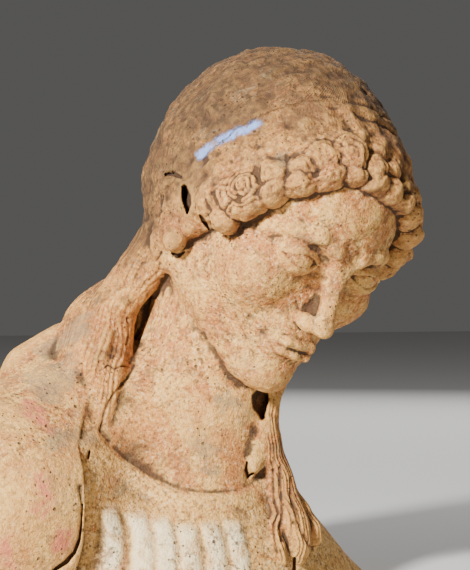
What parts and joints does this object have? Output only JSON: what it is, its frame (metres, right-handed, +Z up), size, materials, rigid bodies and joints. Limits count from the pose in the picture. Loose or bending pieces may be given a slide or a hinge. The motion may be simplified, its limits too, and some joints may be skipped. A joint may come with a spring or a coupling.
{
  "type": "terracotta female bust",
  "caption": "Bust of a young woman in fired clay, head bowed to one side, with snail curls, long locks and a pleated tunic, cut flat below.",
  "frame": {"origin": "on the flat underside, below the middle of the outline", "axes": "+Z up, the chest faces -Y, the figure's own left is +X"},
  "size_m": [0.3257, 0.2192, 0.3275],
  "materials": {
    "terracotta_bust": "matte, worn"
  },
  "bodies": {
    "root": {"terracotta_bust": "terracotta_bust"}
  },
  "joints": []
}
